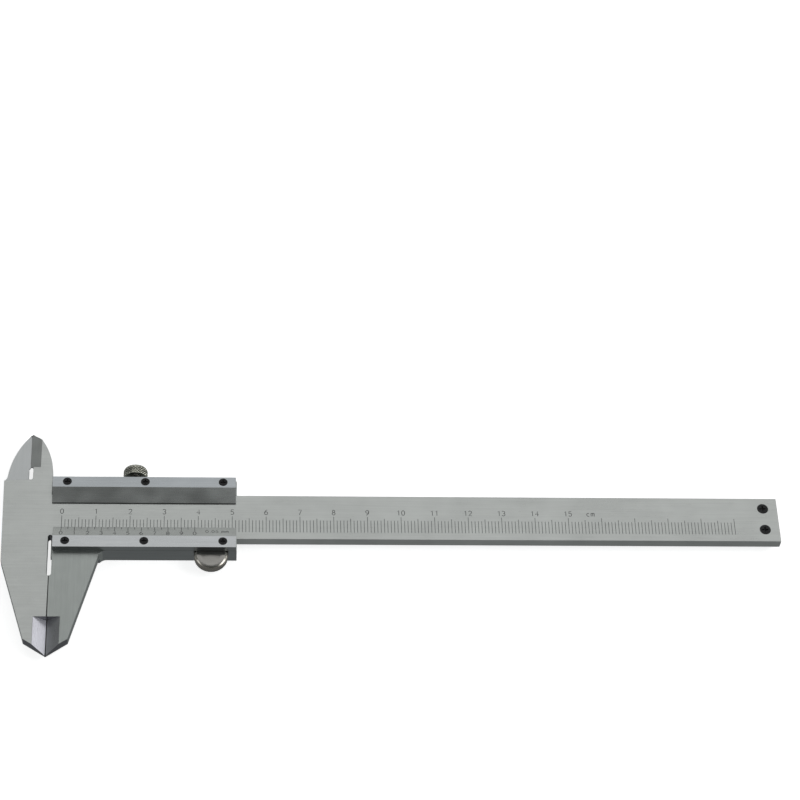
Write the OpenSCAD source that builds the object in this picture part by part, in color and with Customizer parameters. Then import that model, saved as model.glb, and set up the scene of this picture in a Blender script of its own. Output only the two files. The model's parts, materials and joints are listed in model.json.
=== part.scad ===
// Vernier caliper lying on its back, closed, with inside jaws, a depth rod and a thumb roller.
// Drawing frame of the modules, in millimetres: X = 0 is the contact plane of the outside jaws,
// Y = 0 is the beam's centre line and Z = 0 is the beam's front face. place() moves all of it
// so that the part's origin is the bottom centre of its bounding box.

/* [Beam] */
// Width of the beam across its two edges
beam_w = 15; // [14:0.5:17]
// Thickness of the beam and of the outside jaws
beam_t = 3.1; // [3:0.1:4]
// Length of the beam from the outside jaws' contact plane to its free end
beam_len = 216.6; // [214:0.2:230]
// Width of the depth rod's groove in the beam's back
groove_w = 3.4; // [3:0.1:4]
// Depth of the depth rod's groove
groove_depth = 1.42; // [1.2:0.02:1.6]

/* [Head and jaws] */
// Distance from the contact plane to the head's left edge at its top
head_w = 14.4; // [14.2:0.1:16]
// Reach of the outside jaws below the beam's centre line
outside_reach = 45.3; // [42:0.1:50]
// Reach of the inside jaws above the beam's centre line
inside_reach = 29.5; // [29:0.1:30.5]
// Where the inside jaws' contact plane lies, left of the outside jaws' one
inside_offset = 6.9; // [6:0.1:8]
// Height at which the ground facets of the outside jaws' knife edges start, below the centre line
knife_top = 33.7; // [30:0.1:38]
// Width of each knife edge facet, from the contact plane
knife_w = 3.85; // [2:0.05:5]

/* [Slider] */
// Length of the slider body
slider_len = 54.35; // [53:0.05:55]
// Height of the slider's upper edge above the beam's centre line
slider_top = 12.5; // [12.5:0.1:13.5]
// Depth of the slider's lower edge below the beam's centre line
slider_bottom = 11.65; // [11.5:0.05:12]
// Depth of the slider's back face behind the beam's front face
slider_back = 5.5; // [5.3:0.1:7]
// Thickness of the two front strips
strip_t = 2.15; // [1.8:0.05:2.5]
// Travel of the slider, the caliper's measuring range
travel = 150; // [140:1:150]

/* [Fasteners and controls] */
// Head diameter of the strips' screws
strip_screw_d = 2.6; // [2.2:0.1:3]
// Head diameter of the stop plate's screws
stop_screw_d = 3.3; // [2.6:0.1:3.6]
// Diameter of the lock screw's knurled head
lock_head_d = 7.2; // [6:0.1:7.4]
// Radius of the thumb roller
roller_r = 4.95; // [4.5:0.05:5.1]

/* [Hidden] */
$fn = 64;

// Running gap between pieces that slide on each other, and an overshoot for clean cuts
run_gap = 0.04;
cut = 1;
half_w = beam_w / 2;

// Clearance of a face from the plane that it shares with its neighbour, and overlap of joined solids
face_gap = 0.05;
overlap = 0.01;

// Cross recesses: share of the head's radius, arms per width, and depth
recess_share = 1.15;
recess_arms = 4.5;
recess_depth = 0.55;

// Inside jaws: the fixed blade is the front half of the thickness, the sliding one the back half
blade_front_z = -beam_t / 2 + face_gap;
blade_back_z = -beam_t / 2 - face_gap;
contact_x = -inside_offset;
// Outlines of the two blades are arcs: centre and radius, left one for the sliding blade
left_arc = [14.17, 11.38];
left_arc_r = 27.96;
right_arc = [-22.3, 14.8];
right_arc_r = 22.15;
blade_tip = 0.3;
blade_point_drop = 2;
blade_root_y = 15.1;
blade_root_r = 2;
blade_root_turn = 46;
blade_root_x = -0.2;
fixed_root_y = [12.85, 12.4];
sliding_root_inset = 0.1;
blade_relief_x = contact_x + 0.22;
blade_relief_r = 0.7;
blade_relief_y = [13.5, 17.05];
blade_knife_y = 17.2;
blade_knife_w = 3.1;
blade_edge_t = 0.3;

// Outside jaws, and the head's narrowing from its top down to their shoulder
head_taper = 0.4;
jaw_shoulder_y = -15.1;
jaw_toe = [6.25, -41.0];
fixed_toe_x = -6.5;
jaw_w = 13.95;
jaw_fillet_r = 2.4;
jaw_step = [1.1, -12.65];
jaw_gap = 0.02;
jaw_relief_r = 0.67;
jaw_relief_y = [-7.07, -19.4];
knife_edge_t = 0.75;

// Slider channel
channel_back_z = -beam_t - face_gap;
channel_low_y = -half_w - face_gap;
channel_top_y = 8.85;
slider_x0 = face_gap;
slider_x1 = slider_x0 + slider_len;
front_z = run_gap;
web_w = 1.2;

// Front strips: ends, and the section from the outer edge to the bevel's foot
upper_strip_x = [0.02, slider_x1 - 0.3];
upper_strip_y = [slider_top + face_gap, 9.0, 4.55];
upper_lip_z = 0.4;
vernier_x = [0.75, slider_x1 - 0.2];
vernier_y = [face_gap - slider_bottom, -7.8, -3.8];
vernier_lip_z = 0.3;

// Screws of the strips
strip_screw_x = [4.35, 27.3, slider_x1 - 4.1];
guide_screw_y = 10.85;
vernier_screw_y = -9.55;
strip_screw_head_t = 0.9;
strip_screw_shank_r = 0.7;
strip_screw_len = 4.4;
short_screw_len = strip_t - 0.15;

// Thumb roller and its axle
roller_x = slider_x1 - 7.5;
roller_y = channel_low_y - roller_r;
roller_z = [-2.68, -0.1];
roller_chamfer = 0.35;
roller_pocket_r = roller_r + 0.15;
roller_bore_r = 1.03;
roller_bore_depth = 1.9;
axle_r = 1.0;
lug_r = 2.6;
washer_r = 2.1;
washer_t = 0.2;
washer_z1 = roller_z[0] - run_gap / 2;
washer_z0 = washer_z1 - washer_t;

// Lock screw: axis height, thread and head along Y
lock_x = 24.25;
lock_z = -1.6;
lock_shank_r = 1.25;
lock_hole_r = 1.28;
lock_neck_r = 1.75;
lock_neck_y = 12.95;
lock_head_y = [14.3, 17.6];
lock_edge = 0.25;
lock_chamfer = 1;
pad_r = 1.15;
pad_y = [8.03, 9.0];
pad_bore_r = 0.6;
lock_nose_r = 0.56;
pad_bore_depth = 0.5;

// Gib leaf and its set screws
gib_y = [7.57, 7.97];
gib_z = [-2.95, -0.15];
gib_x = [2.4, slider_x1 - 1.8];
gib_screw_x = [10, 44];
gib_screw_r = 0.95;
gib_slot = [0.35, 0.5];
gib_screw_inset = 0.1;

// Depth rod and its screws
rod_w = 3.2;
rod_x0 = 36;
rod_z = [face_gap - beam_t, groove_depth - run_gap - beam_t];
groove_run = 6;
rod_pad_x = [37, 51];
rod_notch = [2.4, 1.3];
rod_screw_x = [40, 48];
rod_screw_r = 0.8;
rod_screw_head_r = 1.5;
rod_screw_head_t = 0.9;
rod_screw_skin = 0.4;

// Stop plate on the beam's back
stop_clearance = 1.6;
stop_len = beam_len - slider_x1 - travel - stop_clearance;
stop_inset = 1.9;
stop_screw_inset = 4.4;
stop_screw_ys = [-3.37, 3.93];
stop_screw_head_t = 1.1;
stop_screw_shank_r = 0.85;
stop_screw_len = 4.9;

// The part's bounding box in the drawing frame
box_centre_x = (beam_len - head_w) / 2;
box_centre_y = (inside_reach - outside_reach) / 2;

// Moves a drawing-frame shape to the part's own frame
module place() {
    translate([-box_centre_x, -box_centre_y, slider_back]) children();
}

// A box given by its low and high corners
module block(low, high) {
    translate(low) cube(high - low);
}

// A prism of the child outline between two heights
module slab(z0, z1) {
    translate([0, 0, z0]) linear_extrude(z1 - z0) children();
}

// A prism along X whose section is a list of [y, z] points
module along_x(x0, x1, section) {
    translate([x0, 0, 0]) rotate([90, 0, 90]) linear_extrude(x1 - x0) polygon(section);
}

// A prism along Y whose section is a list of [x, z] points
module along_y(y0, y1, section) {
    translate([0, y1, 0]) rotate([90, 0, 0]) linear_extrude(y1 - y0) polygon(section);
}

// A cylinder standing on [x, y] between two heights
module post(x, y, z0, z1, r) {
    translate([x, y, z0]) cylinder(h = z1 - z0, r = r);
}

// A round-ended slot through the whole thickness, running along Y
module slot_y(x, ys, r) {
    for (y = ys) post(x, y, -beam_t - cut, cut, r);
    block([x - r, min(ys), -beam_t - cut], [x + r, max(ys), cut]);
}

// Points of an arc from one angle to another
function arc(centre, r, a0, a1, steps = 16) = [
    for (i = [0 : steps])
    let (angle = a0 + (a1 - a0) * i / steps)
    centre + r * [cos(angle), sin(angle)]
];

// Angle, seen from an arc's centre, at which the arc reaches the height y
function arc_angle(centre, r, y) = asin((y - centre[1]) / r);

// Cross recess that is cut in a screw's head, its mouth at the height z
module cross_recess(z, width) {
    arm = width / recess_arms;
    block([-width / 2, -arm / 2, z - recess_depth], [width / 2, arm / 2, z + cut]);
    block([-arm / 2, -width / 2, z - recess_depth], [arm / 2, width / 2, z + cut]);
}

// A screw that stands head up with its flush face at z, the head let into the piece
module flush_screw(x, y, z, head_r, head_t, shank_r, length) {
    translate([x, y, 0]) difference() {
        union() {
            post(0, 0, z - head_t, z, head_r);
            post(0, 0, z - length, z - head_t + overlap, shank_r);
        }
        cross_recess(z, head_r * recess_share);
    }
}

// The hole that such a screw fills
module screw_hole(x, y, z, head_r, head_t, shank_r, length) {
    post(x, y, z - head_t, z + cut, head_r);
    post(x, y, z - length, z, shank_r);
}

// Width of the head at the height y
function head_w_at(y) = head_w - head_taper * (fixed_root_y[1] - y) / (fixed_root_y[1] - jaw_shoulder_y);

// Outline of the fixed inside blade, from the beam's edge to its tip
module fixed_blade_outline() {
    a0 = arc_angle(right_arc, right_arc_r, right_arc[1]);
    a1 = arc_angle(right_arc, right_arc_r, inside_reach - blade_point_drop);
    polygon(concat(
        [[-head_w_at(0), 0], [blade_root_x, 0]],
        arc(right_arc, right_arc_r, a0, a1),
        [[contact_x + blade_tip, inside_reach], [contact_x, inside_reach - blade_tip]],
        [[contact_x, fixed_root_y[0]], [-head_w, fixed_root_y[1]]]
    ));
}

// Outline of the sliding inside blade and of the arm that carries it
module sliding_blade_outline() {
    a0 = 180 - arc_angle(left_arc, left_arc_r, blade_root_y);
    a1 = 180 - arc_angle(left_arc, left_arc_r, inside_reach);
    root_centre = left_arc + left_arc_r * [cos(a0), sin(a0)] - [blade_root_r, 0];
    polygon(concat(
        [[slider_x0 + web_w, -channel_low_y], [slider_x0 + web_w, slider_top]],
        [[contact_x, slider_top], [contact_x - jaw_gap, inside_reach - blade_tip]],
        arc(left_arc, left_arc_r, a1, a0),
        arc(root_centre, blade_root_r, 0, -blade_root_turn, 6),
        [[sliding_root_inset - head_w_at(half_w), -channel_low_y]]
    ));
}

// Outline of the beam, its head and the fixed outside jaw
module beam_outline() {
    polygon([
        [beam_len, half_w], [-head_w_at(half_w), half_w], [-head_w_at(jaw_shoulder_y), jaw_shoulder_y],
        [fixed_toe_x, jaw_toe[1]], [0, -outside_reach], [0, -half_w], [beam_len, -half_w]
    ]);
}

// Outline of the sliding outside jaw, which meets the slider's lower edge in a fillet
module sliding_jaw_outline() {
    centre = [jaw_w + jaw_fillet_r, -slider_bottom - jaw_fillet_r];
    polygon(concat(
        [[jaw_gap, channel_low_y], [jaw_gap, -outside_reach], jaw_toe],
        arc(centre, jaw_fillet_r, 180, 90, 10),
        [[jaw_w + jaw_fillet_r, channel_low_y]]
    ));
}

// Wedge that grinds an outside jaw's front to a knife edge; side is -1 for the left jaw
module outside_knife_cut(side) {
    depth = knife_edge_t - beam_t;
    along_y(-outside_reach - cut, -knife_top, [
        [side * knife_w, 0], [side * knife_w, cut], [-side * cut, cut],
        [-side * cut, depth], [0, depth]
    ]);
}

module beam() {
    color("silver") difference() {
        union() {
            slab(-beam_t, 0) beam_outline();
            slab(blade_front_z, 0) fixed_blade_outline();
        }
        slot_y(-jaw_gap, jaw_relief_y, jaw_relief_r);
        slot_y(blade_relief_x, blade_relief_y, blade_relief_r);
        outside_knife_cut(-1);
        along_y(blade_knife_y, inside_reach + cut, [
            [contact_x + blade_knife_w, 0], [contact_x + blade_knife_w, cut],
            [contact_x - cut, cut], [contact_x - cut, blade_front_z + blade_edge_t],
            [contact_x, blade_front_z + blade_edge_t]
        ]);
        block(
            [rod_x0 - groove_run, -groove_w / 2, -beam_t - cut],
            [beam_len + cut, groove_w / 2, groove_depth - beam_t]
        );
        for (y = stop_screw_ys) {
            screw_hole(beam_len - stop_screw_inset, y, 0, stop_screw_d / 2,
                stop_screw_head_t, stop_screw_shank_r, beam_t + cut);
        }
    }
}

module stop_plate() {
    x0 = beam_len - stop_len;
    color("silver") difference() {
        block([x0, stop_inset - half_w, -slider_back], [beam_len, half_w - stop_inset, -beam_t]);
        for (y = stop_screw_ys) {
            post(beam_len - stop_screw_inset, y,
                -stop_screw_len, cut, stop_screw_shank_r);
        }
    }
}

module stop_plate_screws() {
    color("dimgray") for (y = stop_screw_ys) {
        flush_screw(beam_len - stop_screw_inset, y, 0, stop_screw_d / 2,
            stop_screw_head_t, stop_screw_shank_r, stop_screw_len);
    }
}

module slider_body() {
    color("silver") difference() {
        union() {
            block([slider_x0, -slider_bottom, -slider_back], [slider_x1, slider_top, channel_back_z]);
            block([slider_x0, channel_top_y, -slider_back], [slider_x1, slider_top, front_z]);
            block([slider_x0, -slider_bottom, -slider_back], [slider_x1, channel_low_y, blade_back_z]);
            block([vernier_x[0], -slider_bottom, -slider_back], [slider_x1, channel_low_y, front_z]);
            slab(-beam_t, 0) sliding_jaw_outline();
            // Thick root of the jaw, which the fillet runs down
            slab(-slider_back, -beam_t) intersection() {
                sliding_jaw_outline();
                translate(jaw_step) square([slider_len, channel_low_y - jaw_step[1]]);
            }
            slab(-beam_t, blade_back_z) sliding_blade_outline();
            for (x = [slider_x0, slider_x1 - web_w]) {
                block([x, -channel_low_y, -slider_back], [x + web_w, slider_top, front_z]);
            }
            post(roller_x, roller_y, -slider_back, washer_z0, lug_r);
        }
        outside_knife_cut(1);
        slot_y(jaw_gap, jaw_relief_y, jaw_relief_r);
        slot_y(blade_relief_x, blade_relief_y, blade_relief_r);
        along_y(blade_knife_y, inside_reach + cut, [
            [contact_x - blade_knife_w, -beam_t], [contact_x - blade_knife_w, -beam_t - cut],
            [contact_x + cut, -beam_t - cut], [contact_x + cut, blade_back_z - blade_edge_t],
            [contact_x, blade_back_z - blade_edge_t]
        ]);
        // Pocket and axle hole of the thumb roller
        post(roller_x, roller_y, washer_z0, cut, roller_pocket_r);
        post(roller_x, roller_y, -slider_back - cut, cut, axle_r);
        // Tapped holes of the strips' screws
        for (x = strip_screw_x) {
            post(x, guide_screw_y, strip_t - strip_screw_len, cut, strip_screw_shank_r);
        }
        for (x = [strip_screw_x[0], strip_screw_x[1]]) {
            post(x, vernier_screw_y, strip_t - strip_screw_len, cut, strip_screw_shank_r);
        }
        // Holes through the upper wall, for the lock screw and the gib's set screws
        hole_y(lock_x, lock_hole_r);
        for (x = gib_screw_x) hole_y(x, gib_screw_r);
        // Countersunk holes of the depth rod's screws, from the back
        for (x = rod_screw_x) {
            post(x, 0, -slider_back - cut, -slider_back + rod_screw_head_t, rod_screw_head_r);
            post(x, 0, -slider_back - cut, cut, rod_screw_r);
        }
    }
}

// A round hole along Y through the slider's upper wall
module hole_y(x, r) {
    translate([x, slider_top + cut, lock_z]) rotate([90, 0, 0])
        cylinder(h = slider_top + cut - half_w, r = r);
}

module upper_guide_strip() {
    color("gainsboro") difference() {
        along_x(upper_strip_x[0], upper_strip_x[1], [
            [upper_strip_y[0], front_z], [upper_strip_y[0], strip_t], [upper_strip_y[1], strip_t],
            [upper_strip_y[2], upper_lip_z], [upper_strip_y[2], front_z]
        ]);
        for (x = strip_screw_x) {
            screw_hole(x, guide_screw_y, strip_t, strip_screw_d / 2,
                strip_screw_head_t, strip_screw_shank_r, strip_t + cut);
        }
    }
}

module vernier_plate() {
    color("gainsboro") difference() {
        along_x(vernier_x[0], vernier_x[1], [
            [vernier_y[0], front_z], [vernier_y[0], strip_t], [vernier_y[1], strip_t],
            [vernier_y[2], vernier_lip_z], [vernier_y[2], front_z]
        ]);
        for (x = [strip_screw_x[0], strip_screw_x[1]]) {
            screw_hole(x, vernier_screw_y, strip_t, strip_screw_d / 2,
                strip_screw_head_t, strip_screw_shank_r, strip_t + cut);
        }
        screw_hole(strip_screw_x[2], vernier_screw_y, strip_t, strip_screw_d / 2,
            strip_screw_head_t, strip_screw_shank_r, short_screw_len);
    }
}

module guide_strip_screws() {
    color("dimgray") for (x = strip_screw_x) {
        flush_screw(x, guide_screw_y, strip_t, strip_screw_d / 2,
            strip_screw_head_t, strip_screw_shank_r, strip_screw_len);
    }
}

module vernier_plate_screws() {
    color("dimgray") for (x = [strip_screw_x[0], strip_screw_x[1]]) {
        flush_screw(x, vernier_screw_y, strip_t, strip_screw_d / 2,
            strip_screw_head_t, strip_screw_shank_r, strip_screw_len);
    }
}

// The third screw is short, because the thumb roller turns right behind it
module vernier_plate_short_screw() {
    color("dimgray") flush_screw(strip_screw_x[2], vernier_screw_y, strip_t, strip_screw_d / 2,
        strip_screw_head_t, strip_screw_shank_r, short_screw_len);
}

module gib_spring() {
    color("goldenrod") block([gib_x[0], gib_y[0], gib_z[0]], [gib_x[1], gib_y[1], gib_z[1]]);
}

module gib_set_screws() {
    end_y = slider_top - gib_screw_inset;
    color("dimgray") for (x = gib_screw_x) {
        translate([x, end_y, lock_z]) difference() {
            rotate([90, 0, 0]) cylinder(h = end_y - gib_y[1], r = gib_screw_r);
            block([-cut, -gib_slot[1], -gib_slot[0] / 2], [cut, cut, gib_slot[0] / 2]);
        }
    }
}

module lock_screw() {
    head_r = lock_head_d / 2;
    tip = pad_y[1] + run_gap / 2;
    nose = pad_y[1] - pad_bore_depth + run_gap;
    color("silver") translate([lock_x, 0, lock_z]) rotate([-90, 0, 0]) rotate_extrude() polygon([
        [0, nose], [lock_nose_r, nose], [lock_nose_r, tip], [lock_shank_r, tip],
        [lock_shank_r, lock_neck_y], [lock_neck_r, lock_neck_y], [lock_neck_r, lock_head_y[0]],
        [head_r - lock_edge, lock_head_y[0]], [head_r, lock_head_y[0] + lock_edge],
        [head_r, lock_head_y[1] - lock_chamfer], [head_r - lock_chamfer, lock_head_y[1]],
        [0, lock_head_y[1]]
    ]);
}

module lock_screw_pad() {
    color("goldenrod") translate([lock_x, 0, lock_z]) rotate([-90, 0, 0]) rotate_extrude() polygon([
        [0, pad_y[0]], [pad_r, pad_y[0]], [pad_r, pad_y[1]], [pad_bore_r, pad_y[1]],
        [pad_bore_r, pad_y[1] - pad_bore_depth], [0, pad_y[1] - pad_bore_depth]
    ]);
}

module thumb_roller() {
    rim = roller_r - roller_chamfer;
    color("lightgray") translate([roller_x, roller_y, 0]) rotate_extrude() polygon([
        [roller_bore_r, roller_z[0]], [rim, roller_z[0]], [roller_r, roller_z[0] + roller_chamfer],
        [roller_r, roller_z[1] - roller_chamfer], [rim, roller_z[1]], [0, roller_z[1]],
        [0, roller_z[0] + roller_bore_depth], [roller_bore_r, roller_z[0] + roller_bore_depth]
    ]);
}

module roller_axle() {
    top = roller_z[0] + roller_bore_depth - run_gap;
    color("dimgray") post(roller_x, roller_y, face_gap - slider_back, top, axle_r);
}

module roller_washer() {
    color("goldenrod") difference() {
        post(roller_x, roller_y, washer_z0, washer_z1, washer_r);
        post(roller_x, roller_y, washer_z0 - cut, washer_z1 + cut, axle_r);
    }
}

module depth_rod() {
    color("silver") difference() {
        union() {
            block([rod_x0, -rod_w / 2, rod_z[0]], [beam_len, rod_w / 2, rod_z[1]]);
            block([rod_pad_x[0], -rod_w / 2, channel_back_z], [rod_pad_x[1], rod_w / 2, rod_z[1]]);
        }
        block(
            [beam_len - rod_notch[0], rod_w / 2 - rod_notch[1], -beam_t - cut],
            [beam_len + cut, rod_w, 0]
        );
        for (x = rod_screw_x) post(x, 0, -slider_back, rod_z[1] - rod_screw_skin, rod_screw_r);
    }
}

module depth_rod_screws() {
    low = face_gap - slider_back;
    color("dimgray") for (x = rod_screw_x) {
        translate([x, 0, 0]) difference() {
            union() {
                post(0, 0, low, rod_screw_head_t - slider_back, rod_screw_head_r);
                post(0, 0, low, rod_z[1] - rod_screw_skin, rod_screw_r);
            }
            block([-2 * cut, -gib_slot[0] / 2, low - cut], [2 * cut, gib_slot[0] / 2, low + gib_slot[1]]);
        }
    }
}

place() beam();
place() stop_plate();
place() stop_plate_screws();
place() slider_body();
place() upper_guide_strip();
place() vernier_plate();
place() guide_strip_screws();
place() vernier_plate_screws();
place() vernier_plate_short_screw();
place() gib_spring();
place() gib_set_screws();
place() lock_screw();
place() lock_screw_pad();
place() thumb_roller();
place() roller_axle();
place() roller_washer();
place() depth_rod();
place() depth_rod_screws();
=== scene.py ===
"""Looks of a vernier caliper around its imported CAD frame, in metres, in the frame's own axes.

The caliper lies on its back. X runs along the beam from the jaws to its free end, Y from the
outside jaws to the inside jaws, and Z up out of the graduated face.
"""

import json
import math

import bmesh
import bpy
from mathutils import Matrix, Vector


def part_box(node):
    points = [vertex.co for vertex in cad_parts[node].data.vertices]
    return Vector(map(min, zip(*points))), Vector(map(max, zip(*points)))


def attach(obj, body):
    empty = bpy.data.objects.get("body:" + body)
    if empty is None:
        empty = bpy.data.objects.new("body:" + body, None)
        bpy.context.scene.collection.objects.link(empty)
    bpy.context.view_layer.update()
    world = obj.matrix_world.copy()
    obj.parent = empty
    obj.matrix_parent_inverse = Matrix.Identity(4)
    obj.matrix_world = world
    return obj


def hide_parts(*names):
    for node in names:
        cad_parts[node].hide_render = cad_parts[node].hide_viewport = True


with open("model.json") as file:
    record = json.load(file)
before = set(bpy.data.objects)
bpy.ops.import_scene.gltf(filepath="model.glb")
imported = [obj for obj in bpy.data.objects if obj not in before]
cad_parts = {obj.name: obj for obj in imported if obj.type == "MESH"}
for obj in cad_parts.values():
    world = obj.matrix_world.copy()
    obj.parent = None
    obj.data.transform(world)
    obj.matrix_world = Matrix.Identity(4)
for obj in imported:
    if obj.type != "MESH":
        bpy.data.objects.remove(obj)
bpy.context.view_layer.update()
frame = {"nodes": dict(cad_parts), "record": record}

MM = 0.001
X, Y, Z = 0, 1, 2

# ---------------------------------------------------------------- places, from the frame

BEAM_LOW, BEAM_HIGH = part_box("beam")
ROD_LOW, ROD_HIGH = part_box("depth_rod")
VERNIER_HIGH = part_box("vernier_plate")[1]
ROLLER_LOW, ROLLER_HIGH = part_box("thumb_roller")
LOCK_LOW, LOCK_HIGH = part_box("lock_screw")

# Width of the head, left of the outside jaws' contact plane
HEAD_W = 14.4 * MM
# The point on the beam's front face where the contact plane meets the beam's centre line
DATUM = Vector((BEAM_LOW.x + HEAD_W, (ROD_LOW.y + ROD_HIGH.y) / 2, BEAM_HIGH.z))


def at(x, y, z=0.0):
    """A point given in millimetres from the datum."""
    return DATUM + Vector((x, y, z)) * MM


# ---------------------------------------------------------------- materials

NOISE_LOW, NOISE_HIGH = 0.3, 0.7    # the range that holds nearly all of a noise
NOISE_ROUGHNESS = 0.6

# Noise cells per metre, along and across the grain
STREAK_CELLS = (45, 2600)
SCRATCH_CELLS = (260, 9000)
# Noise cells per metre along X, Y and Z
STAIN_CELLS = (70, 90, 90)
COATING_CELLS = (2200, 2200, 2200)

# How far scratches and stains lower and raise the roughness
SCRATCHED = (0.82, 1.22)
STAINED = (0.92, 1.10)
SCRATCH_DEPTH = 0.03 * MM
# How far the coating's cells change its colour and roughness
COATING_MOTTLED = (0.65, 1.35)
COATING_ROUGH = (0.8, 1.25)
COATING_BUMP = 0.15
COATING_DEPTH = 0.02 * MM


def node(tree, kind, **inputs):
    """A new shader node, with each input set to its value or linked to its socket."""
    made = tree.nodes.new(kind)
    for name, value in inputs.items():
        socket = made.inputs[name.replace("_", " ")]
        if isinstance(value, bpy.types.NodeSocket):
            tree.links.new(value, socket)
        else:
            socket.default_value = value
    return made


def stretched_noise(tree, coords, scale, detail):
    """Noise whose cells are stretched by a different scale along each axis, per metre."""
    mapping = node(tree, "ShaderNodeMapping", Vector=coords, Scale=scale)
    noise = node(
        tree, "ShaderNodeTexNoise", Vector=mapping.outputs["Vector"],
        Scale=1.0, Detail=detail, Roughness=NOISE_ROUGHNESS,
    )
    return noise.outputs["Fac"]


def ranged(tree, source, low, high, source_low=NOISE_LOW, source_high=NOISE_HIGH):
    """The source's value carried from its range to another, whose ends are values or sockets."""
    made = node(
        tree, "ShaderNodeMapRange", Value=source,
        From_Min=source_low, From_Max=source_high, To_Min=low, To_Max=high,
    )
    return made.outputs["Result"]


def product(tree, a, b):
    """The product of two sockets' values."""
    made = tree.nodes.new("ShaderNodeMath")
    made.operation = "MULTIPLY"
    tree.links.new(a, made.inputs[0])
    tree.links.new(b, made.inputs[1])
    return made.outputs["Value"]


def grain_scale(axis, cells):
    """Noise scales for a grain that runs along one axis."""
    along, across = cells
    return tuple(along if i == axis else across for i in range(3))


def bare_material(name, metallic):
    """A material with only its shader, and the coordinates that its noises use."""
    material = bpy.data.materials.new(name)
    material.use_nodes = True
    tree = material.node_tree
    tree.nodes.clear()
    shader = node(tree, "ShaderNodeBsdfPrincipled", Metallic=metallic)
    node(tree, "ShaderNodeOutputMaterial", Surface=shader.outputs["BSDF"])
    coords = tree.nodes.new("ShaderNodeTexCoord").outputs["Object"]
    return material, shader, coords


def dress(tree, shader, color, shade, rough, height, bump, depth):
    """Gives the shader its shaded colour, its roughness, and a bump of the given height."""
    tint = tree.nodes.new("ShaderNodeVectorMath")
    tint.operation = "SCALE"
    tint.inputs[0].default_value = color
    tree.links.new(shade, tint.inputs["Scale"])
    relief = node(tree, "ShaderNodeBump", Strength=bump, Distance=depth, Height=height)
    tree.links.new(tint.outputs["Vector"], shader.inputs["Base Color"])
    tree.links.new(rough, shader.inputs["Roughness"])
    tree.links.new(relief.outputs["Normal"], shader.inputs["Normal"])


def metal(name, color, roughness, grain, streak=0.07, stain=0.05, bump=0.12, metallic=1.0):
    """Ground or polished metal: streaks and fine scratches along the grain, with faint stains."""
    material, shader, coords = bare_material(name, metallic)
    tree = material.node_tree
    streaks = stretched_noise(tree, coords, grain_scale(grain, STREAK_CELLS), detail=3.0)
    scratches = stretched_noise(tree, coords, grain_scale(grain, SCRATCH_CELLS), detail=5.0)
    stains = stretched_noise(tree, coords, STAIN_CELLS, detail=2.0)
    shade = product(
        tree,
        ranged(tree, streaks, 1 - streak, 1 + streak),
        ranged(tree, stains, 1 - stain, 1 + stain),
    )
    rough = product(
        tree,
        ranged(tree, scratches, *(roughness * share for share in SCRATCHED)),
        ranged(tree, stains, *STAINED),
    )
    dress(tree, shader, color, shade, rough, scratches, bump, SCRATCH_DEPTH)
    return material


def coated(name, color, roughness, metallic=0.0):
    """Black oxide or mark paint: dark, slightly mottled, with a fine tooth."""
    material, shader, coords = bare_material(name, metallic)
    tree = material.node_tree
    cells = stretched_noise(tree, coords, COATING_CELLS, detail=4.0)
    shade = ranged(tree, cells, *COATING_MOTTLED)
    rough = ranged(tree, cells, *(roughness * share for share in COATING_ROUGH))
    dress(tree, shader, color, shade, rough, cells, COATING_BUMP, COATING_DEPTH)
    return material


# Each metal's colour, its roughness, and the axis that its grain runs along
BEAM_STEEL = metal("beam_steel", (0.615, 0.635, 0.615), 0.33, X, streak=0.04, stain=0.08)
SLIDER_STEEL = metal("slider_steel", (0.47, 0.50, 0.48), 0.36, Y, streak=0.04, stain=0.08)
BLADE_STEEL = metal("blade_steel", (0.61, 0.63, 0.63), 0.34, Y, streak=0.03)
# Painted shade: the slider's and the vernier plate's faces that look along -Y are painted darker
# than their steel.
UNDERSIDE_SHADE = metal("painted_underside_shade", (0.36, 0.38, 0.38), 0.34, X, streak=0.08)
# Painted light: the beam's ground knife facet is painted lighter and bluer than the beam's steel,
# as light from the right; its part-metallic ground finish is real.
LIT_FACET_PAINT = metal("painted_lit_facet", (0.72, 0.72, 0.78), 0.30, Y, streak=0.03, metallic=0.6)
# Painted shade: the jaws' walls that look along -Y, the toes and the ends of facets and slots,
# are painted dark.
TOE_SHADE = metal("jaw_toe", (0.23, 0.23, 0.25), 0.35, X, streak=0.08)
# Painted shade: the chamfers along the jaws' contact plane and round the blades' tips, and the
# upper strip's underside, are painted nearly black.
SEAM_SHADE = metal("painted_seam_shade", (0.09, 0.09, 0.09), 0.35, Y)
DULL_FACET = metal("dull_facet", (0.54, 0.55, 0.56), 0.32, Y, streak=0.03)
BLADE_FACET = metal("blade_facet", (0.62, 0.64, 0.62), 0.40, Y, streak=0.03)
BEVEL_STEEL = metal("bevel_steel", (0.67, 0.69, 0.67), 0.27, X, streak=0.05, stain=0.28)
# Painted shade: the upper strip's faces are painted darker than the vernier plate's, though both
# are the same steel.
STRIP_STEEL_SHADED = metal("strip_steel", (0.53, 0.56, 0.58), 0.30, X, streak=0.05, stain=0.08)
VERNIER_STEEL = metal("vernier_steel", (0.67, 0.69, 0.70), 0.30, X, streak=0.05)
VERNIER_BEVEL = metal("vernier_bevel", (0.59, 0.61, 0.59), 0.30, X, streak=0.05, stain=0.08)
ROD_STEEL = metal("rod_steel", (0.58, 0.59, 0.60), 0.26, X)
# Painted shade: the steel parts' broken edges are painted about half as bright as their faces, as
# dark lines of shade.
EDGE_SHADE = metal("painted_edge_shade", (0.30, 0.31, 0.30), 0.28, X, streak=0.12, stain=0.10)
NICKEL = metal("nickel", (0.58, 0.56, 0.51), 0.18, Z, streak=0.05, bump=0.05)
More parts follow.
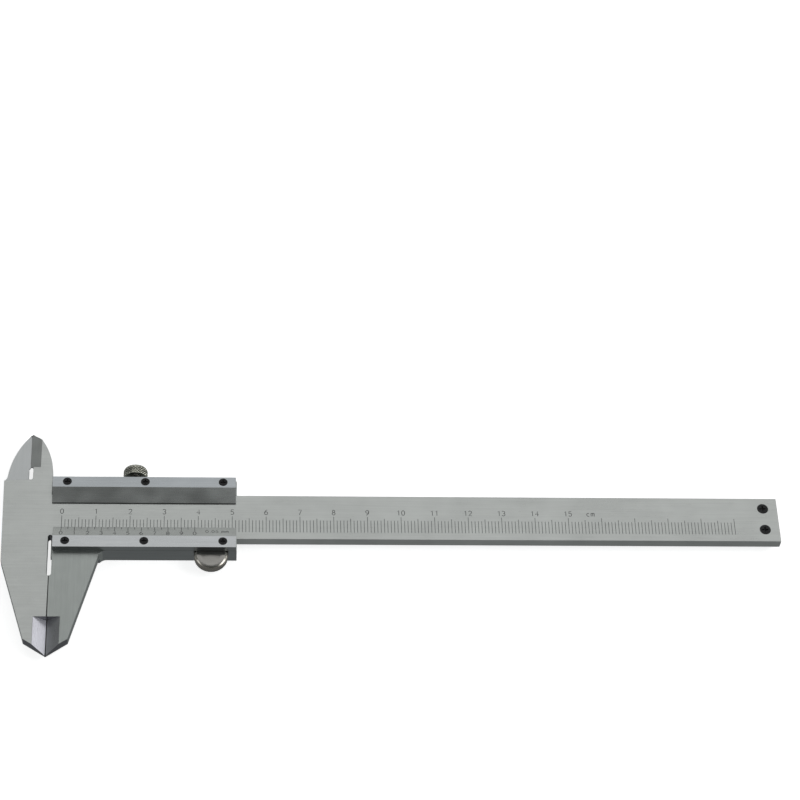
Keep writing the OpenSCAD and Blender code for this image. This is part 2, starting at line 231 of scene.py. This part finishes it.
# Painted shade: the roller's flat front face under the strip, and the lock screw's neck and shank
# under its head, are painted darker than the nickel.
SHADED_NICKEL = metal("painted_shade_nickel", (0.37, 0.36, 0.34), 0.20, X, streak=0.06, bump=0.08)
KNURLED_NICKEL = metal("knurled_nickel", (0.72, 0.72, 0.63), 0.20, Z, streak=0.05, bump=0.05)
KNURLED_RIM = metal("knurled_rim", (0.37, 0.35, 0.31), 0.22, Z, streak=0.05, bump=0.05)
# Painted shade: the lock screw's knurl grooves are painted nearly black.
GROOVE_SHADE = metal("painted_groove_shade", (0.13, 0.13, 0.11), 0.38, Z, stain=0.15)
BRONZE = metal("bronze", (0.62, 0.42, 0.20), 0.30, X)
BLACK_SCREW = coated("black_screw", (0.007, 0.007, 0.008), 0.40, metallic=0.2)
SCREW_EDGE = coated("screw_edge", (0.022, 0.022, 0.024), 0.32, metallic=0.5)
MARK_PAINT = coated("mark_paint", (0.030, 0.031, 0.034), 0.55)


# ---------------------------------------------------------------- pieces and their CAD nodes

def new_piece(name, bm, materials, sharp_from):
    """An object of the mesh, smooth except at edges sharper than the angle in degrees."""
    mesh = bpy.data.meshes.new(name)
    bmesh.ops.recalc_face_normals(bm, faces=bm.faces)
    bm.to_mesh(mesh)
    bm.free()
    for material in materials:
        mesh.materials.append(material)
    mesh.shade_smooth()
    mesh.set_sharp_from_angle(angle=math.radians(sharp_from))
    piece = bpy.data.objects.new(name, mesh)
    bpy.context.scene.collection.objects.link(piece)
    return piece


def body_of(cad_node):
    """The body that a CAD node belongs to."""
    bodies = frame["record"]["behaviour"]["bodies"]
    return next(body for body, members in bodies.items() if cad_node in members)


def stand_for(piece, cad_node):
    """The piece takes the CAD node's place and body."""
    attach(piece, body_of(cad_node))
    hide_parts(cad_node)


# ---------------------------------------------------------------- faces and edges picked out

# A ground slope's normal has more than these shares out of the front face and across it
SLOPE_UP = 0.3
SLOPE_ACROSS = 0.15
# A face looks along an axis when its normal has more than this share there
SQUARE = 0.9
# The jaws' toes are slanted, so a smaller share is enough for them
SLANTED = 0.5
BLADE_FRONT_X = -1.0       # mm; the sliding inside blade's front lies left of this
JAWS_X = 8.0               # mm; the toes and the ends of facets and slots lie left of this

# Corners of the box that holds the front edges of the outside jaws' contact plane
CONTACT_LOW = at(-0.05, -60, -2.5)
CONTACT_HIGH = at(0.05, -20, 0.1)
# An edge round an inside blade's tip has both its ends beyond this Y, and either both above
# this Z or both left of this X
TIP_EDGE = at(-6.9, 27.3, -1.5)
SAME = 0.01 * MM           # places nearer than this are the same


def is_outside_knife(centre, normal):
    """A facet ground at a slant to the front face, on an outside jaw's knife edge."""
    return normal.z > SLOPE_UP and abs(normal.x) > SLOPE_ACROSS and centre.y < DATUM.y


def is_inside_knife(centre, normal):
    """The facet ground on the fixed inside blade's edge."""
    return normal.z > SLOPE_UP and abs(normal.x) > SLOPE_ACROSS and centre.y > DATUM.y


def is_bevel(centre, normal):
    """A strip's slope down to the graduation."""
    return normal.z > SLOPE_UP and abs(normal.y) > SLOPE_ACROSS


def is_underside(centre, normal):
    """A face that looks along -Y, as the slider's lower edge does; such faces get a painted
    shade.
    """
    return normal.y < -SQUARE


def is_blade_front(centre, normal):
    """The front of the sliding inside blade, left of the outside jaws' contact plane."""
    return normal.z > SQUARE and centre.x < at(BLADE_FRONT_X, 0).x


def is_shaded_wall(centre, normal):
    """A wall of the jaws that looks along -Y: the slanted toes, the ends of facets and slots. It
    is painted dark as shade.
    """
    return normal.y < -SLANTED and centre.x < at(JAWS_X, 0).x


def is_contact_edge(a, b):
    """An edge of the plane in which the outside jaws meet, seen from the front."""
    inside = all(CONTACT_LOW[i] < p[i] < CONTACT_HIGH[i] for p in (a, b) for i in (X, Y, Z))
    return inside and abs(a.z - b.z) < SAME


def is_blade_tip(a, b):
    """An edge round the tip of an inside blade, seen from the front."""
    far = min(a.y, b.y) > TIP_EDGE.y
    front = min(a.z, b.z) > TIP_EDGE.z or max(a.x, b.x) < TIP_EDGE.x
    return far and front and math.hypot(a.x - b.x, a.y - b.y) > SAME


# ---------------------------------------------------------------- CAD shapes with broken edges

WELD = 0.001 * MM          # corners nearer than this are one
FLAT_WITHIN = 0.5          # degrees between faces that are one plane
SHARP_FROM = 30.0          # degrees between faces from which their edge is sharp
BREAK_SEGMENTS = 2
FACE_WEIGHT = 90           # above 50, large faces set their corners' normals more strongly
TIP_INSET = 0.03 * MM      # the broken edges stand out a little at the blade's tip
LEAST_EDGE = 0.005 * MM    # shorter edges are removed after the chamfers

# Widths of broken edges, and of the chamfers along the contact plane and the blades' tips, which
# are painted dark as shade
BODY_BREAK = 0.13 * MM
STRIP_BREAK = 0.08 * MM
PLATE_BREAK = 0.10 * MM
ROD_BREAK = 0.06 * MM
SCREW_BREAK = 0.05 * MM
CONTACT_SEAM = 0.16 * MM
TIP_SEAM = 0.28 * MM


def chamfer_seams(bm, cad_node, seams, material_index):
    """Chamfers the edges that each test picks, for a painted shade, and keeps the shape in the
    node's box.
    """
    for width, picks in seams:
        edges = [e for e in bm.edges if picks(e.verts[0].co, e.verts[1].co)]
        bmesh.ops.bevel(
            bm, geom=edges, offset=width, offset_type="OFFSET", segments=1, profile=0.5,
            affect="EDGES", material=material_index,
        )
    low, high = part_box(cad_node)
    high.y -= TIP_INSET
    for vert in bm.verts:
        vert.co = Vector(min(max(c, a), b) for c, a, b in zip(vert.co, low, high))
    bmesh.ops.dissolve_degenerate(bm, dist=LEAST_EDGE, edges=bm.edges)


def broken_edges(cad_node, material, edge_material, width, finishes=(), seams=()):
    """The CAD node's own shape with its sharp edges broken.

    finishes holds pairs of a material and a test that picks the faces it is for, and seams
    holds pairs of a width and a test that picks the edges that are chamfered wide and
    painted dark as shade.
    """
    materials = [material, edge_material] + [finish for finish, _ in finishes]
    bm = bmesh.new()
    bm.from_mesh(frame["nodes"][cad_node].data)
    bmesh.ops.remove_doubles(bm, verts=bm.verts, dist=WELD)
    bmesh.ops.dissolve_limit(
        bm, angle_limit=math.radians(FLAT_WITHIN), verts=bm.verts, edges=bm.edges,
    )
    for face in bm.faces:
        face.material_index = 0
        for i, (_, picks) in enumerate(finishes):
            if picks(face.calc_center_median(), face.normal):
                face.material_index = 2 + i
    if seams:
        chamfer_seams(bm, cad_node, seams, len(materials))
        # The chamfered seams are painted dark as shade.
        materials.append(SEAM_SHADE)
    piece = new_piece(cad_node + "_finished", bm, materials, SHARP_FROM)
    bevel = piece.modifiers.new("broken_edges", "BEVEL")
    bevel.width = width
    bevel.segments = BREAK_SEGMENTS
    bevel.limit_method = "ANGLE"
    bevel.angle_limit = math.radians(SHARP_FROM)
    # The bevel's faces take the edge material, which on the steel parts is a painted shade.
    bevel.material = 1
    flat = piece.modifiers.new("flat_faces", "WEIGHTED_NORMAL")
    flat.weight = FACE_WEIGHT
    flat.keep_sharp = True
    stand_for(piece, cad_node)


# ---------------------------------------------------------------- engraved marks, in mm

SCALE_ZERO = 3.05          # from the contact plane to the zero line
SCALE_MM = 200             # graduated length
SCALE_FOOT = -5.13         # where every line starts, from the centre line
LINE_TOP = {1: -1.0, 5: -0.35, 10: 0.3}    # where each kind of line ends
LINE_W = 0.14
MARK_RISE = 0.008          # how far the filled marks stand out of the steel
MARK_SINK = 0.03           # and how far they reach into it
DIGIT_FOOT = 0.95
DIGIT_H = 1.65
STROKE_W = 0.17
LAST_NUMBER = 15
UNIT_X = 156.8             # from the zero line to the middle of the unit

VERNIER_LINES = 20
VERNIER_PITCH = 1.95
VERNIER_FLAT_Y = 4.0       # the bevel's width, measured flat
VERNIER_LIP = 0.30         # height of the bevel's foot above the beam's face
# Distances up the bevel from its foot: to the lines' near and far ends, and to the feet of the
# numbers and of the reading
VERNIER_GAP = 0.02
VERNIER_LONG = 2.1
VERNIER_SHORT = 1.2
VERNIER_DIGIT_FOOT = 3.9
READING_FOOT = 2.75
VERNIER_DIGIT_H = 1.55
READING_X = 48.6           # from the contact plane to the middle of the reading
READING_H = 1.35
READING_STROKE_W = 0.14

SAME_POINT = 1e-6          # a stroke whose ends are nearer than this is closed
# Shares of a character's height: its cell's width, and the way to the next character
CELL_W = 0.6
ADVANCE = 0.82
ADVANCES = {".": 0.5, "m": 0.86, " ": 0.5}


def arc(cx, cy, rx, ry, start, end, steps=14):
    """Points on an ellipse from one angle to another, in degrees."""
    turn = [math.radians(start + (end - start) * i / steps) for i in range(steps + 1)]
    return [(cx + rx * math.cos(a), cy + ry * math.sin(a)) for a in turn]


# Each character as strokes in a cell that is 1 high
GLYPHS = {
    "0": [arc(0.3, 0.5, 0.28, 0.5, 90, 450, 20)],
    "1": [[(0.12, 0.80), (0.34, 1.0), (0.34, 0.0)]],
    "2": [arc(0.3, 0.72, 0.26, 0.28, 165, -35) + [(0.04, 0.0), (0.58, 0.0)]],
    "3": [arc(0.28, 0.75, 0.25, 0.25, 150, -90) + arc(0.28, 0.26, 0.29, 0.26, 90, -150)],
    "4": [[(0.44, 0.0), (0.44, 1.0), (0.02, 0.30), (0.60, 0.30)]],
    "5": [[(0.54, 1.0), (0.13, 1.0), (0.08, 0.56)] + arc(0.28, 0.32, 0.29, 0.32, 125, -145)],
    "6": [arc(0.30, 0.30, 0.27, 0.30, 0, 360, 18), arc(0.60, 0.30, 0.57, 0.70, 100, 180)],
    "7": [[(0.02, 1.0), (0.58, 1.0), (0.20, 0.0)]],
    "8": [arc(0.30, 0.76, 0.22, 0.24, 0, 360, 16), arc(0.30, 0.26, 0.27, 0.26, 0, 360, 18)],
    "9": [arc(0.30, 0.70, 0.27, 0.30, 0, 360, 18), arc(0.0, 0.70, 0.57, 0.70, -80, 0)],
    "c": [arc(0.30, 0.33, 0.26, 0.33, 50, 310)],
    "m": [
        [(0.02, 0.0), (0.02, 0.66)],
        [(0.02, 0.42)] + arc(0.17, 0.48, 0.14, 0.18, 150, 0, 8) + [(0.31, 0.0)],
        [(0.31, 0.42)] + arc(0.46, 0.48, 0.14, 0.18, 150, 0, 8) + [(0.60, 0.0)],
    ],
    ".": [[(0.24, 0.0), (0.24, 0.10)]],
}


def ribbon(bm, points, width, place):
    """A stroke of constant width along the points, as a thin solid set into the steel."""
    closed = math.dist(points[0], points[-1]) < SAME_POINT
    if closed:
        points = points[:-1]
    count = len(points)
    corners = ((-MARK_SINK, -1), (MARK_RISE, -1), (MARK_RISE, 1), (-MARK_SINK, 1))
    rows = []
    for i, (x, y) in enumerate(points):
        before = points[i - 1] if closed or i else points[0]
        after = points[(i + 1) % count] if closed or i + 1 < count else points[-1]
        direction = Vector((after[0] - before[0], after[1] - before[1]))
        direction.normalize()
        side = Vector((-direction.y, direction.x)) * width / 2
        rows.append([
            bm.verts.new(place(x + sign * side.x, y + sign * side.y, height))
            for height, sign in corners
        ])
    for i in range(count if closed else count - 1):
        a, b = rows[i], rows[(i + 1) % count]
        for j in range(4):
            bm.faces.new((a[j], a[(j + 1) % 4], b[(j + 1) % 4], b[j]))
    if not closed:
        bm.faces.new(rows[0])
        bm.faces.new(rows[-1][::-1])


def engrave(bm, text, x, y, height, stroke, place):
    """Characters centred on x, standing on y."""
    advances = [ADVANCES.get(character, ADVANCE) * height for character in text]
    left = x - (sum(advances) - (ADVANCE - CELL_W) * height) / 2
    for character, advance in zip(text, advances):
        for points in GLYPHS.get(character, []):
            spots = [(left + px * height, y + py * height) for px, py in points]
            ribbon(bm, spots, stroke, place)
        left += advance


def line_kind(i):
    """How long a millimetre's line is: 10 for a centimetre, 5 for its half, otherwise 1."""
    return 10 if i % 10 == 0 else 5 if i % 5 == 0 else 1


def main_scale():
    """Lines, numbers and unit on the beam's front face."""
    bm = bmesh.new()
    for i in range(SCALE_MM + 1):
        x = SCALE_ZERO + i
        ribbon(bm, [(x, SCALE_FOOT), (x, LINE_TOP[line_kind(i)])], LINE_W, at)
    for number in range(LAST_NUMBER + 1):
        engrave(bm, str(number), SCALE_ZERO + number * 10, DIGIT_FOOT, DIGIT_H, STROKE_W, at)
    engrave(bm, "cm", SCALE_ZERO + UNIT_X, DIGIT_FOOT, DIGIT_H, STROKE_W, at)
    piece = new_piece("main_scale_marks", bm, [MARK_PAINT], SHARP_FROM)
    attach(piece, "beam")


def vernier_scale():
    """Lines, numbers and reading on the vernier plate's bevel."""
    foot = (VERNIER_HIGH.y - DATUM.y) / MM
    rise = (VERNIER_HIGH.z - DATUM.z) / MM - VERNIER_LIP
    slant = math.hypot(VERNIER_FLAT_Y, rise)
    uphill = Vector((0, -VERNIER_FLAT_Y, rise)) / slant
    out = Vector((0, rise, VERNIER_FLAT_Y)) / slant

    def on_bevel(x, y, z):
        """y is zero at the bevel's foot and negative on the bevel, and z stands out of it."""
        return at(x, foot, VERNIER_LIP) + (uphill * -y + out * z) * MM

    bm = bmesh.new()
    for i in range(VERNIER_LINES + 1):
        x = SCALE_ZERO + i * VERNIER_PITCH
        length = VERNIER_SHORT if i % 2 else VERNIER_LONG
        ribbon(bm, [(x, -length), (x, -VERNIER_GAP)], LINE_W, on_bevel)
        if i % 2 == 0:
            number = str(i // 2 % 10)
            engrave(bm, number, x, -VERNIER_DIGIT_FOOT, VERNIER_DIGIT_H, STROKE_W, on_bevel)
    engrave(bm, "0.05 mm", READING_X, -READING_FOOT, READING_H, READING_STROKE_W, on_bevel)
    piece = new_piece("vernier_marks", bm, [MARK_PAINT], SHARP_FROM)
    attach(piece, "slider")


# ---------------------------------------------------------------- knurled parts, in mm

KNURL_SHARP_FROM = 40      # degrees

ROLLER_TEETH = 76
ROLLER_TOOTH = 0.13
ROLLER_TOOTH_STEPS = 6     # points round the roller for each tooth
ROLLER_BORE_R = 1.03
ROLLER_BORE = 1.9          # depth of the blind bore in the roller's back
ROLLER_KNURL = (0.3, 0.40)    # from the back and from the front to the knurl's ends
ROLLER_RIM = 0.80          # from the roller's side to its flat face
ROLLER_SIDE = 0.28         # how far in from the side the knurl's finish reaches
# Edges of the roller: how far in from its side, and how far from its back or its front
ROLLER_BACK_EDGE = ((0.5, 0), (0.2, 0.12))
ROLLER_FRONT_EDGE = (
    (ROLLER_TOOTH, 0.32), (0.30, 0.30), (0.31, 0.26), (0.70, 0.03), (ROLLER_RIM, 0),
)
# The shallow dish in the roller's front: radius, and depth below the front
ROLLER_DISH = ((2.9, 0), (2.7, 0.06), (0.3, 0.06))

LOCK_TEETH = 24
LOCK_TOOTH = 0.24
LOCK_TOOTH_STEPS = 10      # points round the head for each tooth
LOCK_LEAD = 0.78           # height in which a knurl's groove passes to the next tooth
LOCK_GROOVE = 0.42         # share of the pitch that a knurl's groove takes
LOCK_KNURL_STEPS = 26      # rings along the knurl
LOCK_HEAD = 3.3            # length of the knurled head
LOCK_NECK = 4.65           # from the head's outer end to the threaded shank
LOCK_KNURL = (0.3, 1.05)   # from the head's inner and outer ends to the knurl's ends
LOCK_INNER_EDGE = ((0.45, 0), (0.14, 0.12))    # in from the side, and from the inner end
LOCK_CROWN_FOOT = (0.12, 0.98)    # the crown's foot: in from the side, and from the outer end
LOCK_CROWN_TOP = 1.3       # from the side to the flat on top
LOCK_CROWN_STEPS = 6
LOCK_CENTRE_R = 0.4
LOCK_NECK_R = 1.72
LOCK_SHANK_R = 1.24
LOCK_PITCH = 0.5
LOCK_THREAD = ((0.28, 0), (0, 0.22), (0, 0.28))    # one turn: depth, and distance along it
LOCK_THREAD_START = 0.6    # from the tip
LOCK_TIP = ((0.5, 0), (0.55, 0.05), (0.55, 0.5))    # radius, and distance from the tip
LOCK_HEAD_BACK = 0.05      # how far along the head the painted shade reaches


def zigzag(t):
    """A wave of period 1 that goes 0, 1, 0 in straight lines."""
    return 1 - abs((t % 1.0) * 2 - 1)


def revolved(bm, rings, segments, place, relief):
    """A closed surface of revolution about Z through rings of (radius, height, relief share)."""
    rows = []
    for radius, height, share in rings:
        row = []
        for i in range(segments):
            turn = i / segments
            r = radius - relief(turn, height) * share
            angle = 2 * math.pi * turn
            row.append(bm.verts.new(place(r * math.cos(angle), r * math.sin(angle), height)))
        rows.append(row)
    for a, b in zip(rows, rows[1:]):
        for i in range(segments):
            j = (i + 1) % segments
            bm.faces.new((a[i], a[j], b[j], b[i]))
    bm.faces.new(rows[0][::-1])
    bm.faces.new(rows[-1])


def crown(r_from, z_from, r_to, z_to, steps):
    """Rings along a quarter of an ellipse, from a side to a face."""
    turns = [math.pi / 2 * i / steps for i in range(1, steps)]
    rings = [
        (r_from + (r_to - r_from) * (1 - math.cos(a)), z_from + (z_to - z_from) * math.sin(a), 0)
        for a in turns
    ]
    return rings + [(r_to, z_to, 0)]


def thumb_roller():
    """Polished roller with a straight knurl round its rim and a full, rounded front edge."""
    centre = (ROLLER_LOW + ROLLER_HIGH) / 2
    r = (ROLLER_HIGH.x - ROLLER_LOW.x) / 2 / MM
    back, front = ROLLER_LOW.z / MM, ROLLER_HIGH.z / MM
    knurl_low, knurl_high = ROLLER_KNURL
    rings = [(ROLLER_BORE_R, back + ROLLER_BORE, 0), (ROLLER_BORE_R, back, 0)]
    rings += [(r - inset, back + up, 0) for inset, up in ROLLER_BACK_EDGE]
    rings += [(r, back + knurl_low, 1), (r, front - knurl_high, 1)]
    rings += [(r - inset, front - down, 0) for inset, down in ROLLER_FRONT_EDGE]
    rings += [(radius, front - down, 0) for radius, down in ROLLER_DISH]

    def knurl(turn, z):
        return ROLLER_TOOTH * zigzag(turn * ROLLER_TEETH)

    def place(x, y, z):
        return Vector((centre.x + x * MM, centre.y + y * MM, z * MM))

    bm = bmesh.new()
    revolved(bm, rings, ROLLER_TEETH * ROLLER_TOOTH_STEPS, place, knurl)
    for face in bm.faces:
        spot = face.calc_center_median() - centre
        # The flat front face gets the painted shade.
        if spot.z > 0 and spot.xy.length < (r - ROLLER_RIM) * MM:
            face.material_index = 1
        elif spot.xy.length > (r - ROLLER_SIDE) * MM:
            face.material_index = 2
    materials = [NICKEL, SHADED_NICKEL, KNURLED_RIM]
    piece = new_piece("thumb_roller_knurled", bm, materials, KNURL_SHARP_FROM)
    stand_for(piece, "thumb_roller")


def lock_screw():
    """Lock screw with a cross-knurled head, a plain neck and a threaded shank."""
    x0 = (LOCK_LOW.x + LOCK_HIGH.x) / 2
    z0 = (LOCK_LOW.z + LOCK_HIGH.z) / 2
    r = (LOCK_HIGH.x - LOCK_LOW.x) / 2 / MM
    tip, top = LOCK_LOW.y / MM, LOCK_HIGH.y / MM
    head = top - LOCK_HEAD
    neck = top - LOCK_NECK
    knurl_low, knurl_high = head + LOCK_KNURL[0], top - LOCK_KNURL[1]

    rings = [(radius, tip + up, 0) for radius, up in LOCK_TIP]
    for i in range(int((neck - tip - LOCK_THREAD_START) / LOCK_PITCH)):
        z = tip + LOCK_THREAD_START + i * LOCK_PITCH
        rings += [(LOCK_SHANK_R - depth, z + up, 0) for depth, up in LOCK_THREAD]
    rings += [(LOCK_SHANK_R, neck, 0), (LOCK_NECK_R, neck, 0), (LOCK_NECK_R, head, 0)]
    rings += [(r - inset, head + up, 0) for inset, up in LOCK_INNER_EDGE]
    for i in range(LOCK_KNURL_STEPS + 1):
        rings.append((r, knurl_low + (knurl_high - knurl_low) * i / LOCK_KNURL_STEPS, 1))
    inset, down = LOCK_CROWN_FOOT
    rings += crown(r - inset, top - down, r - LOCK_CROWN_TOP, top, LOCK_CROWN_STEPS)
    rings += [(LOCK_CENTRE_R, top, 0)]

    def knurl(turn, z):
        slope = z / LOCK_LEAD
        wave = max(zigzag(turn * LOCK_TEETH + slope), zigzag(turn * LOCK_TEETH - slope))
        return LOCK_TOOTH * max(0, (wave - 1 + LOCK_GROOVE) / LOCK_GROOVE)

    def place(x, y, z):
        return Vector((x0 - x * MM, z * MM, z0 + y * MM))

    bm = bmesh.new()
    revolved(bm, rings, LOCK_TEETH * LOCK_TOOTH_STEPS, place, knurl)
    for face in bm.faces:
        spot = face.calc_center_median()
        in_groove = math.hypot(spot.x - x0, spot.z - z0) < (r - LOCK_TOOTH / 2) * MM
        # Below the head the screw gets a painted shade.
        if spot.y < (head + LOCK_HEAD_BACK) * MM:
            face.material_index = 1
        # The knurl's grooves are painted nearly black, as shade.
        elif in_groove and knurl_low * MM < spot.y < knurl_high * MM:
            face.material_index = 2
    materials = [KNURLED_NICKEL, SHADED_NICKEL, GROOVE_SHADE]
    piece = new_piece("lock_screw_knurled", bm, materials, KNURL_SHARP_FROM)
    stand_for(piece, "lock_screw")


# ---------------------------------------------------------------- stage

# The camera stands high up, on the outside jaws' side of the slider
CAMERA_PLACE = (47.31, -398.90, 645.08)       # mm from the datum
CAMERA_TURN = (34.4251, -3.7126, -1.9450)     # Euler angles in degrees
CAMERA_LENS = 115.18                          # mm
CAMERA_SENSOR_W = 36                          # mm
CAMERA_NEAR = 0.01                            # metres

# Each area light's direction from the object, distance, width and height, and radiance
SOFTBOXES = {
    "back_softbox": ((0.05, 0.60, 0.80), 1.5, (1.9, 1.0), 0.55),
    "low_back_softbox": ((0.0, 0.98, 0.18), 1.6, (2.2, 0.5), 0.40),
    "right_softbox": ((0.80, 0.48, 0.36), 1.5, (0.9, 0.8), 1.0),
    "right_window": ((0.70, -0.06, 0.70), 1.5, (0.8, 0.7), 2.3),
    "left_window": ((-0.74, -0.06, 0.66), 1.5, (0.6, 0.5), 0.9),
}

ROOM_COLOR = (0.96, 0.99, 1.0, 1)
# How bright the room's parts are: the table, the wall and the dark above it on the camera's
# side, and all the rest
TABLE_LIGHT = 0.22
WALL_LIGHT = 0.50
DARK_LIGHT = 0.04
REST_LIGHT = 0.18
# Between these heights or depths of a direction of length 1, one part passes to the next
TABLE_TO_ROOM_Z = (-0.15, 0.0)
WALL_TO_DARK_Z = (0.46, 0.74)
CAMERA_SIDE_TO_REST_Y = (-0.45, -0.18)

FLOOR_SIZE = 6.0           # metres
FLOOR_COLOR = (0.9, 0.9, 0.9, 1)
FLOOR_ROUGHNESS = 0.9
FLOOR_GLOW = 0.75


def softbox(name, direction, distance, size, radiance):
    """An area light aimed at the object's middle, with a given brightness to the eye."""
    light = bpy.data.lights.new(name, "AREA")
    light.shape = "RECTANGLE"
    light.size, light.size_y = size
    light.energy = radiance * math.pi * size[0] * size[1]
    lamp = bpy.data.objects.new(name, light)
    bpy.context.scene.collection.objects.link(lamp)
    lamp.location = Vector(direction).normalized() * distance
    lamp.rotation_euler = (-lamp.location).to_track_quat("-Z", "Y").to_euler()
    lamp.visible_camera = False


def surroundings():
    """A dim room with a pale table, and on the camera's side a pale wall with dark above it."""
    world = bpy.data.worlds.new("studio")
    bpy.context.scene.world = world
    world.use_nodes = True
    tree = world.node_tree
    coords = tree.nodes.new("ShaderNodeTexCoord").outputs["Generated"]
    axes = node(tree, "ShaderNodeSeparateXYZ", Vector=coords).outputs
    camera_side = ranged(tree, axes["Z"], WALL_LIGHT, DARK_LIGHT, *WALL_TO_DARK_Z)
    above_table = ranged(tree, axes["Y"], camera_side, REST_LIGHT, *CAMERA_SIDE_TO_REST_Y)
    room = ranged(tree, axes["Z"], TABLE_LIGHT, above_table, *TABLE_TO_ROOM_Z)
    background = tree.nodes["Background"]
    background.inputs["Color"].default_value = ROOM_COLOR
    tree.links.new(room, background.inputs["Strength"])


def pale_floor():
    """A floor that glows a little, and doesn't light the caliper or show in it."""
    bm = bmesh.new()
    bmesh.ops.create_grid(bm, x_segments=1, y_segments=1, size=FLOOR_SIZE)
    mesh = bpy.data.meshes.new("floor")
    bm.to_mesh(mesh)
    bm.free()
    stage = bpy.data.objects.new("floor", mesh)
    bpy.context.scene.collection.objects.link(stage)
    pale = bpy.data.materials.new("pale_floor")
    pale.use_nodes = True
    shader = pale.node_tree.nodes["Principled BSDF"]
    shader.inputs["Base Color"].default_value = FLOOR_COLOR
    shader.inputs["Roughness"].default_value = FLOOR_ROUGHNESS
    shader.inputs["Emission Color"].default_value = (1, 1, 1, 1)
    shader.inputs["Emission Strength"].default_value = FLOOR_GLOW
    mesh.materials.append(pale)
    stage.visible_glossy = False
    stage.visible_diffuse = False


def camera():
    """The camera, which looks down on the graduated face."""
    made = bpy.data.cameras.new("camera")
    made.sensor_width = CAMERA_SENSOR_W
    made.lens = CAMERA_LENS
    made.clip_start = CAMERA_NEAR
    view = bpy.data.objects.new("camera", made)
    bpy.context.scene.collection.objects.link(view)
    view.location = at(*CAMERA_PLACE)
    view.rotation_euler = [math.radians(a) for a in CAMERA_TURN]
    bpy.context.scene.camera = view


# ---------------------------------------------------------------- the caliper

shaded_seams = [(CONTACT_SEAM, is_contact_edge), (TIP_SEAM, is_blade_tip)]
broken_edges(
    "beam", BEAM_STEEL, EDGE_SHADE, BODY_BREAK,
    [
        (LIT_FACET_PAINT, is_outside_knife), (BLADE_FACET, is_inside_knife),
        (TOE_SHADE, is_shaded_wall),
    ],
    shaded_seams,
)
broken_edges(
    "slider_body", SLIDER_STEEL, EDGE_SHADE, BODY_BREAK,
    [
        (DULL_FACET, is_outside_knife), (UNDERSIDE_SHADE, is_underside),
        (BLADE_STEEL, is_blade_front), (TOE_SHADE, is_shaded_wall),
    ],
    shaded_seams,
)
# Each strip's faces that look along -Y are painted darker, as shade.
for strip, face_steel, bevel_steel, underside_shade_paint in (
    ("upper_guide_strip", STRIP_STEEL_SHADED, BEVEL_STEEL, SEAM_SHADE),
    ("vernier_plate", VERNIER_STEEL, VERNIER_BEVEL, UNDERSIDE_SHADE),
):
    broken_edges(
        strip, face_steel, EDGE_SHADE, STRIP_BREAK,
        [(bevel_steel, is_bevel), (underside_shade_paint, is_underside)],
    )
broken_edges("stop_plate", ROD_STEEL, EDGE_SHADE, PLATE_BREAK)
broken_edges("depth_rod", ROD_STEEL, EDGE_SHADE, ROD_BREAK)
for screws in (
    "guide_strip_screws", "vernier_plate_screws", "vernier_plate_short_screw",
    "stop_plate_screws", "gib_set_screws", "depth_rod_screws",
):
    broken_edges(screws, BLACK_SCREW, SCREW_EDGE, SCREW_BREAK)
for small, finish in (
    ("gib_spring", BRONZE), ("lock_screw_pad", BRONZE),
    ("roller_axle", ROD_STEEL), ("roller_washer", BRONZE),
):
    frame["nodes"][small].data.materials.clear()
    frame["nodes"][small].data.materials.append(finish)
main_scale()
vernier_scale()
thumb_roller()
lock_screw()

bpy.context.scene.view_settings.view_transform = "Standard"
surroundings()
for name, placing in SOFTBOXES.items():
    softbox(name, *placing)
pale_floor()
camera()
